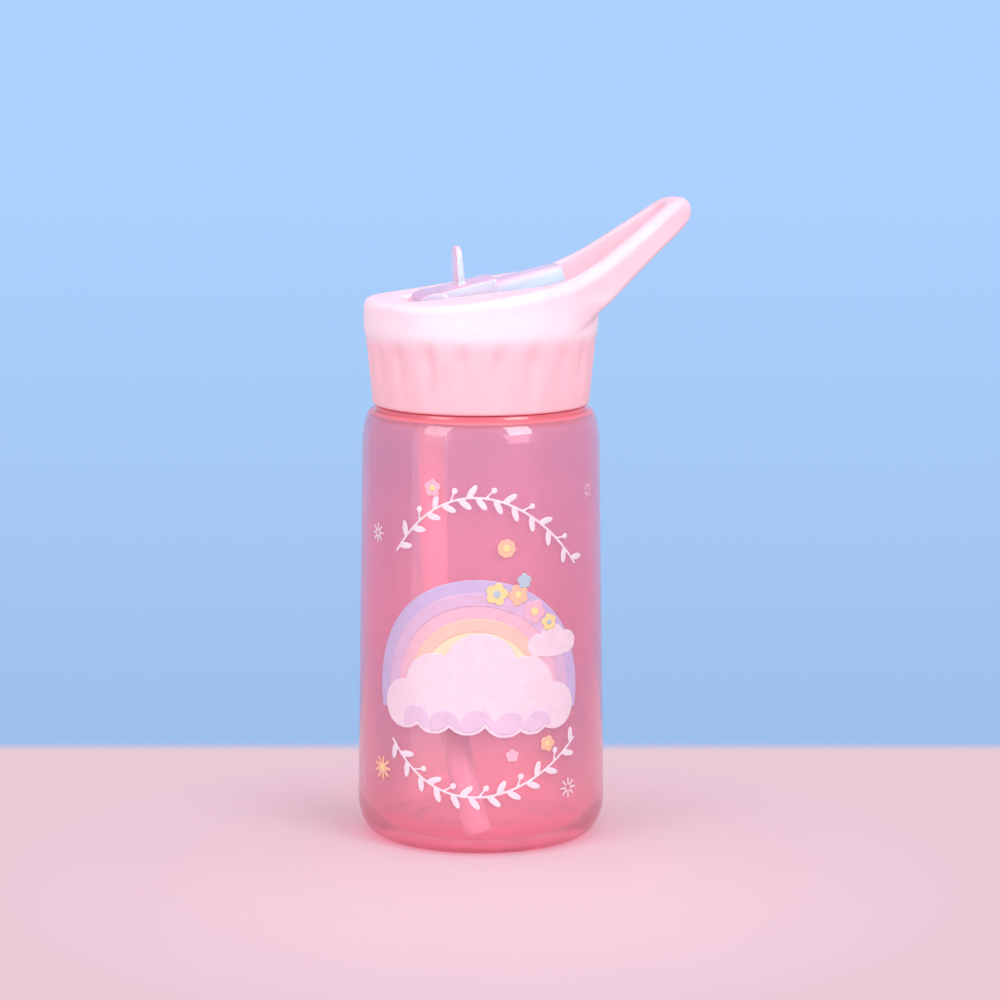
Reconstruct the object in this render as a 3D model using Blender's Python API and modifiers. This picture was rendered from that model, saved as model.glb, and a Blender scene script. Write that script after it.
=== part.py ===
"""Kids water bottle with a screw lid, a carry loop, a flip-up spout and a straw.

Metres, +Z up. The origin is the centre of the base, on the surface the bottle stands on.
The carry loop points to +X, and the lid is symmetric about the XZ plane.
"""

import math

import bmesh
import bpy
from mathutils import Matrix, Vector

# Driving dimensions of the bottle.
BODY_RADIUS = 0.0365            # widest, just above the base corner
BODY_TOP_RADIUS = 0.0348        # below the shoulder
BASE_FLAT_RADIUS = 0.0305
BASE_CORNER_HEIGHT = 0.0105
SHOULDER_START = 0.112
SHOULDER_TOP = 0.1259
SHOULDER = [(0.0003, 0.1180), (0.0006, 0.1215), (0.0014, 0.1240), (0.0024, 0.1253),
            (0.0036, SHOULDER_TOP)]  # drop in radius, and height
INNER_SHOULDER = [(0.0326, 0.1195), (0.0316, 0.1226), (0.0292, 0.1243), (0.0262, 0.1252)]
WALL = 0.0017
FLOOR = 0.0022
INNER_FLAT_RADIUS = 0.0270
INNER_CORNER_HEIGHT = 0.0095
GROOVE = (0.012, 0.020, 0.0008)  # inner radius, outer radius and depth of the ring under the base
COLLAR_RADIUS = 0.0308
NECK_RADIUS = 0.0270
NECK_BORE = 0.0248
NECK_START = 0.1270
MOUTH = 0.1410

# The screw thread, shared by the neck and the lid.
PITCH = 0.004
THREAD_TURNS = 1.25
THREAD_HEIGHT = 0.0015
THREAD_ROOT = 0.0020            # width at the wall
THREAD_CREST = 0.0008           # width at the crest
NECK_THREAD_START = 0.1310

# The lid.
GAP = 0.0003                    # clearance between pieces that touch
LID_RADIUS = 0.0341
LID_BOTTOM = NECK_START + GAP
SKIRT_BORE = 0.0290
SKIRT_SIDE = [(0.0337, 0.1482), (0.0332, 0.1446), (0.0326, 0.1390), (0.0321, 0.1340),
              (0.0318, 0.1300)]  # radius and height, from the smooth band down
BAND_LOW = 0.1498
RIM = 0.1580                    # height of the low side of the rim
DECK_UNDER = 0.1448
FLUTES = 20
FLUTE_DEPTH = 0.0007
FLUTE_ENDS = (0.129, 0.147)

# The carry loop, which is one piece with the lid, and the trough between its arms.
LOOP_CENTRE = 0.050             # centre of the loop's round end
LOOP_RADIUS = 0.012
LOOP_NOSE = [(0.0553, 0.1856), (0.0583, 0.1867), (0.0606, 0.1862), (0.0622, 0.1845),
             (0.0622, 0.1830), (0.0613, 0.1806), (0.0603, 0.1795), (0.0450, 0.1673)]
LOOP_ROOT = (0.0300, 0.1541)    # where the loop's underside meets the band
CREST_START = -0.0158           # where the rim starts to rise
CREST_BEND = 0.010              # where it starts to steepen
CREST_STRAIGHT = 0.040          # where the loop is at its full slope
CREST_END = 0.052
CREST_SLOPES = (0.16, 0.70)
ARM = 0.0062                    # thickness of the loop's arms, seen from above
TROUGH_START = -0.0226
TROUGH_HALF = 0.0102            # half width of the slot around the drum
TROUGH_WIDEST = 0.018
TROUGH_FLOOR = 0.1464
TROUGH_LIMIT = 0.0312           # radius of the trough's end wall
TROUGH_SILL = 0.1556            # top of the wall under the carry loop
POCKET_WALL = 0.0128            # inner side of the two pockets beside the trough
POCKET_REACH = 0.0310
POCKET_CORNERS = ((-0.0268, POCKET_WALL), (-0.0060, POCKET_WALL), (0.0095, 0.0206))
POCKET_ROOF = 0.1562
VENT_HOLE = (-0.0090, 0.1495)   # place in X and Z of the air hole through the pocket's wall

# The flip spout, in its own frame: along X from the pivot, Z up from the tube.
PIVOT = Vector((-0.0145, 0.0, 0.1536))
REST_SLOPE = math.radians(13.5)
DRUM_RADIUS = 0.0066
DRUM_HALF = 0.0092
SPOUT_LENGTH = 0.0396
TUBE_HALF_WIDTH = 0.00675
TUBE_LOW, TUBE_HIGH = -0.0026, 0.0050
SPOUT_BORE = 0.0023
BLOCK_END = 0.0197
BLOCK_HIGH = 0.0063
BLOCK_SIDE = [(-0.0017, BLOCK_HIGH), (-0.0030, 0.0), (0.0020, -0.0058), (0.0060, -0.0046),
              (BLOCK_END, -0.0018), (BLOCK_END, BLOCK_HIGH - 0.0006),
              (BLOCK_END - 0.0006, BLOCK_HIGH)]
TAB_PLACE = 0.0098
TAB_HEIGHT = 0.0115
TAB_HALF_WIDTHS = (0.0055, 0.0048)  # at its foot and at its top
TAB_THICKNESS = 0.0020
TAB_LEAN = math.radians(9.5)

# Pieces inside the lid.
PLATE_RADIUS = 0.0286
PLATE_LOW, PLATE_HIGH = 0.1430, 0.1445
FLOW_BORE = 0.0026
SEAL_RADIUS = 0.0052
GASKET = (0.0249, 0.0282)       # inner and outer radius
SOCKET_LOW = 0.1340
STRAW_RADIUS = 0.0040
STRAW_WALL = 0.0008
STRAW_TOP = 0.1423
STRAW_END = Vector((-0.0049, -0.0274, 0.0047))
STRAW_BEND = 0.112              # height where the straw starts to bow
STRAW_BOW = (2.85, 1.55)        # how late it bows along X and along Y
PIN_RADIUS = 0.0016
PIN_HOLE = 0.0019
PIN_END = 0.0050                # distance of its inner end from the middle
PIN_HEAD = (0.0023, 0.0012)     # radius and thickness
VENT = Vector((0.0, 0.0200, 0.0))
VENT_STEM = 0.0012
VENT_DISC = 0.0038
VENT_BULB = 0.0019
AIR_HOLE = (0.0006, 0.0026)     # radius, and distance from the valve's stem

ROUND_STEPS = 48

for old in list(bpy.data.objects):
    bpy.data.objects.remove(old, do_unlink=True)

parts = bpy.data.collections.new("kids_water_bottle")
cutters = bpy.data.collections.new("cutters")
bpy.context.scene.collection.children.link(parts)
bpy.context.scene.collection.children.link(cutters)


def plastic(name, colour, roughness, transmission=0.0):
    """A Principled material of one moulded plastic or rubber."""
    made = bpy.data.materials.new(name)
    made.use_nodes = True
    shader = made.node_tree.nodes["Principled BSDF"]
    shader.inputs["Base Color"].default_value = (*colour, 1.0)
    shader.inputs["Roughness"].default_value = roughness
    shader.inputs["Metallic"].default_value = 0.0
    shader.inputs["Transmission Weight"].default_value = transmission
    return made


def add(name, mesh, group):
    """Put a mesh in the scene as a part or as a cutter."""
    made = bpy.data.objects.new(name, mesh)
    group.objects.link(made)
    if group is cutters:
        made.hide_render = True
        made.display_type = "WIRE"
    return made


def settled_mesh(source, weld=1e-6):
    """The evaluated shape of an object as a clean mesh in world space; the object is removed."""
    bpy.context.view_layer.update()
    graph = bpy.context.evaluated_depsgraph_get()
    mesh = bpy.data.meshes.new_from_object(source.evaluated_get(graph))
    mesh.transform(source.matrix_world)
    bpy.data.objects.remove(source, do_unlink=True)
    work = bmesh.new()
    work.from_mesh(mesh)
    bmesh.ops.remove_doubles(work, verts=work.verts, dist=weld)
    bmesh.ops.recalc_face_normals(work, faces=work.faces)
    work.to_mesh(mesh)
    work.free()
    return mesh


def turned(name, profile, group, closed=False, steps=ROUND_STEPS):
    """A profile of (radius, height) points, running down its outer side, turned about Z."""
    count = len(profile)
    edges = [(i, i + 1) for i in range(count - 1)]
    if closed:
        edges.append((count - 1, 0))
    mesh = bpy.data.meshes.new(name)
    mesh.from_pydata([(r, 0.0, z) for r, z in profile], edges, [])
    made = add(name, mesh, group)
    screw = made.modifiers.new("turn", "SCREW")
    screw.axis = "Z"
    screw.steps = steps
    screw.render_steps = steps
    screw.use_merge_vertices = True
    screw.merge_threshold = 0.00001
    screw.use_normal_calculate = True
    return made


def cylinder(name, radius, low, high, group, centre=(0.0, 0.0), sides=32):
    """An upright cylinder between two heights."""
    mesh = bpy.data.meshes.new(name)
    work = bmesh.new()
    place = Matrix.Translation((centre[0], centre[1], (low + high) / 2))
    bmesh.ops.create_cone(work, cap_ends=True, segments=sides, radius1=radius,
                          radius2=radius, depth=high - low, matrix=place)
    work.to_mesh(mesh)
    work.free()
    return add(name, mesh, group)


def cross_cylinder(name, radius, left, right, group, centre, sides=32):
    """A cylinder along Y between two sides, at centre = (x, z)."""
    mesh = bpy.data.meshes.new(name)
    work = bmesh.new()
    place = Matrix.Translation((centre[0], (left + right) / 2, centre[1]))
    place = place @ Matrix.Rotation(math.radians(90), 4, "X")
    bmesh.ops.create_cone(work, cap_ends=True, segments=sides, radius1=radius,
                          radius2=radius, depth=right - left, matrix=place)
    work.to_mesh(mesh)
    work.free()
    return add(name, mesh, group)


def prism(name, outline, low, high, group, facing="Z"):
    """A flat outline given a thickness along Z, or along Y or X for an upright outline."""
    curve = bpy.data.curves.new(name, "CURVE")
    curve.dimensions = "2D"
    curve.fill_mode = "BOTH"
    curve.extrude = (high - low) / 2
    spline = curve.splines.new("POLY")
    spline.points.add(len(outline) - 1)
    for point, (a, b) in zip(spline.points, outline):
        point.co = (a, b, 0.0, 1.0)
    spline.use_cyclic_u = True
    drawn = bpy.data.objects.new(name, curve)
    cutters.objects.link(drawn)
    middle = (low + high) / 2
    if facing == "Z":
        drawn.matrix_world = Matrix.Translation((0.0, 0.0, middle))
    elif facing == "Y":
        drawn.matrix_world = (Matrix.Translation((0.0, middle, 0.0))
                              @ Matrix.Rotation(math.radians(90), 4, "X"))
    else:
        drawn.matrix_world = (Matrix.Translation((middle, 0.0, 0.0))
                              @ Matrix.Rotation(math.radians(90), 4, "Z")
                              @ Matrix.Rotation(math.radians(90), 4, "X"))
    return add(name, settled_mesh(drawn), group)


def combine(target, other, operation):
    """A Boolean that stays on the target."""
    step = target.modifiers.new(operation.lower(), "BOOLEAN")
    step.operation = operation
    step.solver = "EXACT"
    step.object = other
    other.hide_render = True
    other.display_type = "WIRE"


def finish(part, material, sharp=35.0):
    """Smooth shading with sharp edges, and the part's material."""
    part.data.materials.clear()
    part.data.materials.append(material)
    part.data.shade_smooth()
    part.data.set_sharp_from_angle(angle=math.radians(sharp))


def arc(centre, radius, start, end, count):
    """Points on a circle, angles in degrees, both ends included."""
    points = []
    for i in range(count):
        angle = math.radians(start + (end - start) * i / (count - 1))
        points.append((centre[0] + radius * math.cos(angle), centre[1] + radius * math.sin(angle)))
    return points


def rounded(corners, count=5):
    """A closed outline from corners (x, y, radius), each corner replaced by an arc."""
    points = []
    total = len(corners)
    for i, (x, y, radius) in enumerate(corners):
        here = Vector((x, y))
        to_last = (Vector(corners[i - 1][:2]) - here).normalized()
        to_next = (Vector(corners[(i + 1) % total][:2]) - here).normalized()
        half = to_last.angle(to_next) / 2
        centre = here + (to_last + to_next).normalized() * radius / math.sin(half)
        first = here + to_last * radius / math.tan(half) - centre
        last = here + to_next * radius / math.tan(half) - centre
        turn = first.angle_signed(last)
        for k in range(count):
            spin = Matrix.Rotation(-turn * k / (count - 1), 2)
            points.append(tuple(centre + spin @ first))
    return points


def helical_thread(name, wall, outward, start, group):
    """A screw thread on a wall, standing outward (+1) or inward (-1), tapered at both ends."""
    mesh = bpy.data.meshes.new(name)
    work = bmesh.new()
    sections = int(ROUND_STEPS * THREAD_TURNS) + 1
    rings = []
    for i in range(sections):
        angle = 2 * math.pi * i / ROUND_STEPS
        height = start + PITCH * i / ROUND_STEPS
        run_out = min(1.0, 0.25 + i / 6, 0.25 + (sections - 1 - i) / 6)
        crest = wall + outward * THREAD_HEIGHT * run_out
        root = wall - outward * 0.0006
        corners = [(root, -THREAD_ROOT / 2), (crest, -THREAD_CREST / 2),
                   (crest, THREAD_CREST / 2), (root, THREAD_ROOT / 2)]
        rings.append([work.verts.new((r * math.cos(angle), r * math.sin(angle), height + z))
                      for r, z in corners])
    for low, high in zip(rings, rings[1:]):
        for k in range(4):
            work.faces.new((low[k], low[(k + 1) % 4], high[(k + 1) % 4], high[k]))
    work.faces.new(rings[0])
    work.faces.new(rings[-1])
    bmesh.ops.recalc_face_normals(work, faces=work.faces)
    work.to_mesh(mesh)
    work.free()
    return add(name, mesh, group)


def body_outline():
    """Outer and inner side of the bottle, as one profile that ends on the axis twice."""
    groove_in, groove_out, groove_depth = GROOVE
    corner = []
    for i in range(7):
        angle = math.pi / 2 * i / 6
        corner.append((BASE_FLAT_RADIUS + (BODY_RADIUS - BASE_FLAT_RADIUS) * math.sin(angle),
                       BASE_CORNER_HEIGHT * (1 - math.cos(angle))))
    shoulder = [(BODY_TOP_RADIUS - drop, height) for drop, height in SHOULDER]
    inner_corner = []
    inside_wide = BODY_RADIUS - WALL
    for i in range(6):
        angle = math.pi / 2 * i / 5
        inner_corner.append((
            INNER_FLAT_RADIUS + (inside_wide - INNER_FLAT_RADIUS) * math.sin(angle),
            FLOOR + INNER_CORNER_HEIGHT * (1 - math.cos(angle))))
    inner = [(0.0, FLOOR)] + inner_corner + [(BODY_TOP_RADIUS - WALL, SHOULDER_START)]
    inner += INNER_SHOULDER + [(NECK_BORE, NECK_START + 0.0002)]
    mouth = [(NECK_BORE, MOUTH - 0.0006), (NECK_BORE + 0.0006, MOUTH),
             (NECK_RADIUS - 0.0006, MOUTH), (NECK_RADIUS, MOUTH - 0.0006)]
    collar = [(NECK_RADIUS, NECK_START), (COLLAR_RADIUS - 0.0003, NECK_START),
              (COLLAR_RADIUS, NECK_START - 0.0003), (COLLAR_RADIUS, SHOULDER_TOP)]
    outer = shoulder[::-1] + [(BODY_TOP_RADIUS, SHOULDER_START)] + corner[::-1]
    base = [(groove_out, 0.0), (groove_out - 0.0008, groove_depth),
            (groove_in + 0.0008, groove_depth), (groove_in, 0.0), (0.0, 0.0)]
    return inner + mouth + collar + outer + base


def make_body(material):
    body = turned("bottle_body", body_outline(), parts)
    thread = helical_thread("neck_thread", NECK_RADIUS, 1, NECK_THREAD_START, cutters)
    combine(body, thread, "UNION")
    finish(body, material)


def crest_height(x):
    """Height of the rim and of the loop's top edge, from the lid's low side to the loop."""
    low_slope, high_slope = CREST_SLOPES
    turn_length = CREST_STRAIGHT - CREST_BEND
    along = min(1.0, max(0.0, (x - CREST_BEND) / turn_length))
    steeper = turn_length * (along ** 3 - along ** 4 / 2) + max(0.0, x - CREST_STRAIGHT)
    return RIM + low_slope * (x - CREST_START) + (high_slope - low_slope) * steeper


def loop_outline():
    """The lid and its loop seen from above: a circle drawn out to a round end."""
    big = LID_RADIUS - 0.0004
    lean = math.degrees(math.acos((big - LOOP_RADIUS) / LOOP_CENTRE))
    round_end = arc((LOOP_CENTRE, 0.0), LOOP_RADIUS, -lean, lean, 13)
    lid_side = arc((0.0, 0.0), big, lean, 360 - lean, 41)
    return round_end + lid_side


def loop_side():
    """The rising rim and the loop seen from the side."""
    count = 15
    inside_band = 0.1520
    top = []
    for i in range(count):
        x = CREST_START + (CREST_END - CREST_START) * i / (count - 1)
        top.append((x, crest_height(x)))
    return top + LOOP_NOSE + [LOOP_ROOT, (LOOP_ROOT[0], inside_band), (CREST_START, inside_band)]


def trough_outline():
    """The opening in the lid's top: a slot for the drum, widening into the loop's opening."""
    lean = (LID_RADIUS - LOOP_RADIUS) / LOOP_CENTRE
    wide = (LID_RADIUS - ARM - lean * TROUGH_WIDEST) / math.sqrt(1 - lean ** 2)
    end = LOOP_CENTRE + LOOP_RADIUS - ARM
    upper = [(end, wide - 0.0180, 0.0055), (TROUGH_WIDEST, wide, 0.010),
             (-0.006, TROUGH_HALF, 0.012), (TROUGH_START, TROUGH_HALF, 0.0025)]
    lower = [(x, -y, radius) for x, y, radius in reversed(upper)]
    return rounded(upper + lower)


def fluted_cap():
    """The lid without its loop: a turned cap, with shallow flutes pressed into its skirt."""
    top = [(0.0, RIM), (LID_RADIUS - 0.0029, RIM), (LID_RADIUS - 0.0012, RIM - 0.0006),
           (LID_RADIUS - 0.0003, RIM - 0.0017), (LID_RADIUS, RIM - 0.0032),
           (LID_RADIUS, BAND_LOW)]
    edge = 0.0006
    lip = [(SKIRT_SIDE[-1][0] - 0.0003, LID_BOTTOM + edge),
           (SKIRT_SIDE[-1][0] - 0.0003 - edge, LID_BOTTOM),
           (SKIRT_BORE + edge, LID_BOTTOM), (SKIRT_BORE, LID_BOTTOM + edge)]
    inside = [(SKIRT_BORE, DECK_UNDER), (0.0, DECK_UNDER)]
    blank = turned("lid_blank", top + SKIRT_SIDE + lip + inside, cutters, steps=4 * FLUTES)
    mesh = settled_mesh(blank)
    low, high = FLUTE_ENDS
    for vertex in mesh.vertices:
        radius = vertex.co.xy.length
        if radius > SKIRT_BORE + 0.001 and low < vertex.co.z < high:
            hollow = 0.5 + 0.5 * math.cos(FLUTES * math.atan2(vertex.co.y, vertex.co.x))
            vertex.co.xy = vertex.co.xy * (1 - FLUTE_DEPTH * hollow / radius)
    return mesh


def pocket_outline():
    """The hollow beside the trough, seen from above: a piece of the lid's circle."""
    corner = math.degrees(math.asin(0.0140 / POCKET_REACH))
    right = math.degrees(math.acos(POCKET_CORNERS[-1][0] / POCKET_REACH))
    return list(POCKET_CORNERS) + arc((0.0, 0.0), POCKET_REACH, right, 180 - corner, 9)


def make_lid(material):
    """The fluted screw lid, with its trough and carry loop in one piece."""
    lid = add("lid_shell", fluted_cap(), parts)
    loop = prism("loop_plan", loop_outline(), 0.1515, 0.1900, cutters)
    combine(loop, prism("loop_profile", loop_side(), -0.040, 0.040, cutters, "Y"), "INTERSECT")
    combine(lid, loop, "UNION")

    opening = prism("loop_opening", trough_outline(), TROUGH_SILL, 0.2000, cutters)
    combine(lid, opening, "DIFFERENCE")
    trough = prism("trough", trough_outline(), TROUGH_FLOOR, TROUGH_SILL + 0.0005, cutters)
    limit = cylinder("trough_limit", TROUGH_LIMIT, 0.140, 0.160, cutters, sides=60)
    combine(trough, limit, "INTERSECT")
    combine(lid, trough, "DIFFERENCE")
    for side in (1, -1):
        outline = [(x, side * y) for x, y in pocket_outline()]
        combine(lid, prism("pocket", outline, 0.1400, POCKET_ROOF, cutters), "DIFFERENCE")

    pin_bore = cross_cylinder("pin_bore", PIN_HOLE, -0.0140, 0.0140, cutters,
                              (PIVOT.x, PIVOT.z), 16)
    combine(lid, pin_bore, "DIFFERENCE")
    seal_hole = cylinder("seal_hole", SEAL_RADIUS + 0.0004, 0.1400, 0.1500, cutters,
                         (PIVOT.x, 0.0))
    combine(lid, seal_hole, "DIFFERENCE")
    vent_hole = cross_cylinder("vent_hole", 0.0009, 0.0080, 0.0160, cutters, VENT_HOLE, 10)
    combine(lid, vent_hole, "DIFFERENCE")
    thread = helical_thread("lid_thread", SKIRT_BORE, -1, NECK_THREAD_START - PITCH / 2, cutters)
    combine(lid, thread, "UNION")
    finish(lid, material)


def make_spout(material):
    """The clear mouthpiece: drum, block, flat tube and thumb tab, in its own frame."""
    spout = cross_cylinder("flip_spout", DRUM_RADIUS, -DRUM_HALF, DRUM_HALF, parts, (0.0, 0.0), 40)
    block = prism("spout_block", BLOCK_SIDE, GAP - DRUM_HALF, DRUM_HALF - GAP, cutters, "Y")
    combine(spout, block, "UNION")
    edge = 0.0026
    section = rounded([(TUBE_HALF_WIDTH, TUBE_LOW, edge), (TUBE_HALF_WIDTH, TUBE_HIGH, edge),
                       (-TUBE_HALF_WIDTH, TUBE_HIGH, edge), (-TUBE_HALF_WIDTH, TUBE_LOW, edge)])
    combine(spout, prism("spout_tube", section, 0.0140, SPOUT_LENGTH, cutters, "X"), "UNION")

    foot, top = TAB_HALF_WIDTHS
    sunk = -0.0020
    blade = rounded([(foot, sunk, 0.0004), (top, TAB_HEIGHT, 0.0035),
                     (-top, TAB_HEIGHT, 0.0035), (-foot, sunk, 0.0004)])
    tab = prism("thumb_tab", blade, -TAB_THICKNESS / 2, TAB_THICKNESS / 2, cutters, "X")
    tab.matrix_world = (Matrix.Translation((TAB_PLACE, 0.0, BLOCK_HIGH - GAP))
                        @ Matrix.Rotation(TAB_LEAN, 4, "Y"))
    combine(spout, tab, "UNION")

    bore = cylinder("flow_bore", SPOUT_BORE, -0.010, SPOUT_LENGTH + 0.005, cutters, sides=20)
    bore.matrix_world = (Matrix.Translation((0.0, 0.0, 0.0006))
                         @ Matrix.Rotation(math.radians(90), 4, "Y"))
    combine(spout, bore, "DIFFERENCE")
    for side in (1, -1):
        ends = sorted((side * 0.0046, side * (DRUM_HALF + 0.002)))
        socket = cross_cylinder("pin_socket", PIN_HOLE, ends[0], ends[1], cutters, (0.0, 0.0), 16)
        combine(spout, socket, "DIFFERENCE")

    joint = bpy.data.objects.new("spout_pivot", None)
    parts.objects.link(joint)
    joint.location = PIVOT
    joint.rotation_euler = (0.0, -REST_SLOPE, 0.0)
    for piece in [spout] + [step.object for step in spout.modifiers]:
        piece.parent = joint
    finish(spout, material)


def make_pins(material):
    """Two headed stub pins, pushed from the pockets through the trough's walls into the drum."""
    for name, side in (("pivot_pin_left", 1), ("pivot_pin_right", -1)):
        head_radius, head_thickness = PIN_HEAD
        under_head = POCKET_WALL + GAP
        outer_end = under_head + head_thickness
        low, high = sorted((side * PIN_END, side * (outer_end - 0.0001)))
        pin = cross_cylinder(name, PIN_RADIUS, low, high, parts, (PIVOT.x, PIVOT.z), 16)
        low, high = sorted((side * under_head, side * outer_end))
        head = cross_cylinder("pin_head", head_radius, low, high, cutters,
                              (PIVOT.x, PIVOT.z), 16)
        combine(pin, head, "UNION")
        finish(pin, material)


def make_seat_seal(material):
    """The silicone seat under the drum, hollowed to the drum's curve."""
    seal = cylinder("spout_seat_seal", SEAL_RADIUS, PLATE_HIGH + GAP, 0.1489, parts,
                    (PIVOT.x, 0.0), 32)
    drum_clearance = cross_cylinder("drum_clearance", DRUM_RADIUS + GAP, -0.020, 0.020, cutters,
                                    (PIVOT.x, PIVOT.z), 48)
    combine(seal, drum_clearance, "DIFFERENCE")
    combine(seal, cylinder("seal_bore", FLOW_BORE, 0.140, 0.155, cutters, (PIVOT.x, 0.0), 24),
            "DIFFERENCE")
    finish(seal, material)


def make_plate(material):
    """The plate that closes the lid from below, with the straw's socket under it."""
    plate = cylinder("lid_inner_plate", PLATE_RADIUS, PLATE_LOW, PLATE_HIGH, parts, sides=ROUND_STEPS)
    socket_radius = STRAW_RADIUS + GAP + 0.0013
    socket = cylinder("socket", socket_radius, SOCKET_LOW, PLATE_LOW + 0.0005, cutters,
                      (PIVOT.x, 0.0), 28)
    combine(plate, socket, "UNION")
    combine(plate, cylinder("straw_hole", STRAW_RADIUS + GAP, SOCKET_LOW - 0.001,
                            STRAW_TOP + GAP, cutters, (PIVOT.x, 0.0), 28), "DIFFERENCE")
    combine(plate, cylinder("plate_bore", FLOW_BORE, 0.140, 0.150, cutters, (PIVOT.x, 0.0), 24),
            "DIFFERENCE")
    combine(plate, cylinder("valve_hole", 0.0015, 0.140, 0.150, cutters, (VENT.x, VENT.y), 12),
            "DIFFERENCE")
    air_radius, air_place = AIR_HOLE
    for side in (1, -1):
        air_hole = cylinder("air_hole", air_radius, 0.140, 0.150, cutters,
                            (VENT.x + side * air_place, VENT.y), 8)
        combine(plate, air_hole, "DIFFERENCE")
    finish(plate, material)


def make_vent_valve(material):
    """A silicone umbrella valve: a thin disc under the plate, held by its bulb above it."""
    above, below = PLATE_HIGH + GAP, PLATE_LOW - GAP
    bulb = [(0.0, above + 0.0016), (0.0008, above + 0.0015), (VENT_BULB, above + 0.0008),
            (VENT_BULB, above)]
    disc = [(VENT_DISC, below), (VENT_DISC, below - 0.0004), (0.0020, below - 0.0008),
            (0.0, below - 0.0009)]
    profile = bulb + [(VENT_STEM, above), (VENT_STEM, below)] + disc
    valve = turned("vent_valve", profile, parts, steps=20)
    valve.location = VENT
    finish(valve, material)


def make_gasket(material):
    """The silicone ring that the lid presses on the bottle's mouth."""
    inner, outer = GASKET
    low, high = MOUTH + GAP, PLATE_LOW - GAP
    edge = 0.0003
    profile = [(inner + edge, high), (outer - edge, high), (outer, high - edge),
               (outer, low + edge), (outer - edge, low), (inner + edge, low),
               (inner, low + edge), (inner, high - edge)]
    finish(turned("neck_gasket", profile, parts, closed=True), material)


def make_straw(material):
    """The straw: straight down from its socket, then bowed to the front of the base."""
    curve = bpy.data.curves.new("straw", "CURVE")
    curve.dimensions = "3D"
    curve.bevel_depth = STRAW_RADIUS
    curve.bevel_resolution = 3
    spline = curve.splines.new("POLY")
    count = 22
    spline.points.add(count - 1)
    for i, point in enumerate(spline.points):
        z = STRAW_TOP + (STRAW_END.z - STRAW_TOP) * i / (count - 1)
        bow = max(0.0, (STRAW_BEND - z) / (STRAW_BEND - STRAW_END.z))
        x = PIVOT.x + (STRAW_END.x - PIVOT.x) * bow ** STRAW_BOW[0]
        y = STRAW_END.y * bow ** STRAW_BOW[1]
        point.co = (x, y, z, 1.0)
    drawn = bpy.data.objects.new("straw_path", curve)
    cutters.objects.link(drawn)
    straw = add("straw", settled_mesh(drawn), parts)
    wall = straw.modifiers.new("wall", "SOLIDIFY")
    wall.thickness = STRAW_WALL
    wall.offset = -1.0
    finish(straw, material)


make_body(plastic("tinted_tritan", (0.86, 0.33, 0.46), 0.08, 0.9))
make_lid(plastic("lid_polypropylene", (0.98, 0.66, 0.76), 0.35))
make_spout(plastic("clear_polycarbonate", (0.92, 0.78, 0.90), 0.05, 0.9))
make_pins(plastic("white_acetal", (0.90, 0.88, 0.88), 0.30))
make_seat_seal(plastic("seat_silicone", (0.93, 0.90, 0.92), 0.55))
make_plate(plastic("plate_polypropylene", (0.97, 0.70, 0.78), 0.40))
make_vent_valve(plastic("valve_silicone", (0.93, 0.90, 0.92), 0.55))
make_gasket(plastic("gasket_silicone", (0.93, 0.91, 0.93), 0.55))
make_straw(plastic("straw_polyethylene", (0.98, 0.82, 0.86), 0.30, 0.6))
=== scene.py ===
"""Looks of a kids water bottle: tinted body, fluted screw lid with a carry loop, clear spout.

Metres, +Z up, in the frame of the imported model. The carry loop points to +X.
"""

import math

import bmesh
import bpy
import numpy as np
from mathutils import Matrix, Vector


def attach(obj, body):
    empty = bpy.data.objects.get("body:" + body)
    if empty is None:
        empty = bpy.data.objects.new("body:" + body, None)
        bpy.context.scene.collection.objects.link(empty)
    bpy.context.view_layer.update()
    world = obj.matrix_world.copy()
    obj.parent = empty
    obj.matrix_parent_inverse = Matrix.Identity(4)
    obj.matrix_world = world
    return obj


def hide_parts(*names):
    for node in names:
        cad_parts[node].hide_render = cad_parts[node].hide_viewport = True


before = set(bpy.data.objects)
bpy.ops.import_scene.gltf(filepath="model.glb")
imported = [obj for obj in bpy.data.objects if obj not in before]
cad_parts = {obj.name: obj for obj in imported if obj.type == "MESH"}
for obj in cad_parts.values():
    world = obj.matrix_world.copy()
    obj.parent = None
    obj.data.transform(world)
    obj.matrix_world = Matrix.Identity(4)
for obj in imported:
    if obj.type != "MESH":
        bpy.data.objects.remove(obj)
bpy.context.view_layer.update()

MM = 0.001

# Sizes shared with the CAD part.
BODY_RADIUS = 0.0365
BODY_TOP_RADIUS = 0.0348
BASE_FLAT_RADIUS = 0.0305
BASE_CORNER_HEIGHT = 0.0105
SHOULDER_START = 0.112
SHOULDER_TOP = 0.1259
WALL = 0.0017
FLOOR = 0.0022
INNER_FLAT_RADIUS = 0.0270
INNER_CORNER_HEIGHT = 0.0095
COLLAR_RADIUS = 0.0308
NECK_RADIUS = 0.0270
NECK_BORE = 0.0248
NECK_START = 0.1270
MOUTH = 0.1410
PITCH = 0.004
THREAD_TURNS = 1.25
THREAD_HEIGHT = 0.0015
THREAD_ROOT = 0.0020
THREAD_CREST = 0.0008
NECK_THREAD_START = 0.1310
GAP = 0.0003
LID_BOTTOM = NECK_START + GAP
SKIRT_BORE = 0.0290
RIM = 0.1580
DECK_UNDER = 0.1448
FLUTES = 20
LOOP_CENTRE = 0.050
LOOP_RADIUS = 0.012
TROUGH_FLOOR = 0.1464
TROUGH_SILL = 0.1556
TROUGH_LIMIT = 0.0312
POCKET_WALL = 0.0128
POCKET_REACH = 0.0310
PIVOT = Vector((-0.0145, 0.0, 0.1536))
REST_SLOPE = math.radians(13.5)
DRUM_RADIUS = 0.0066
DRUM_HALF = 0.0092
SPOUT_LENGTH = 0.0396
BLOCK_END = 0.0197
SPOUT_BORE = 0.0023
BLOCK_HIGH = 0.0063
PIN_HOLE = 0.0019
SEAL_RADIUS = 0.0052
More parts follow.
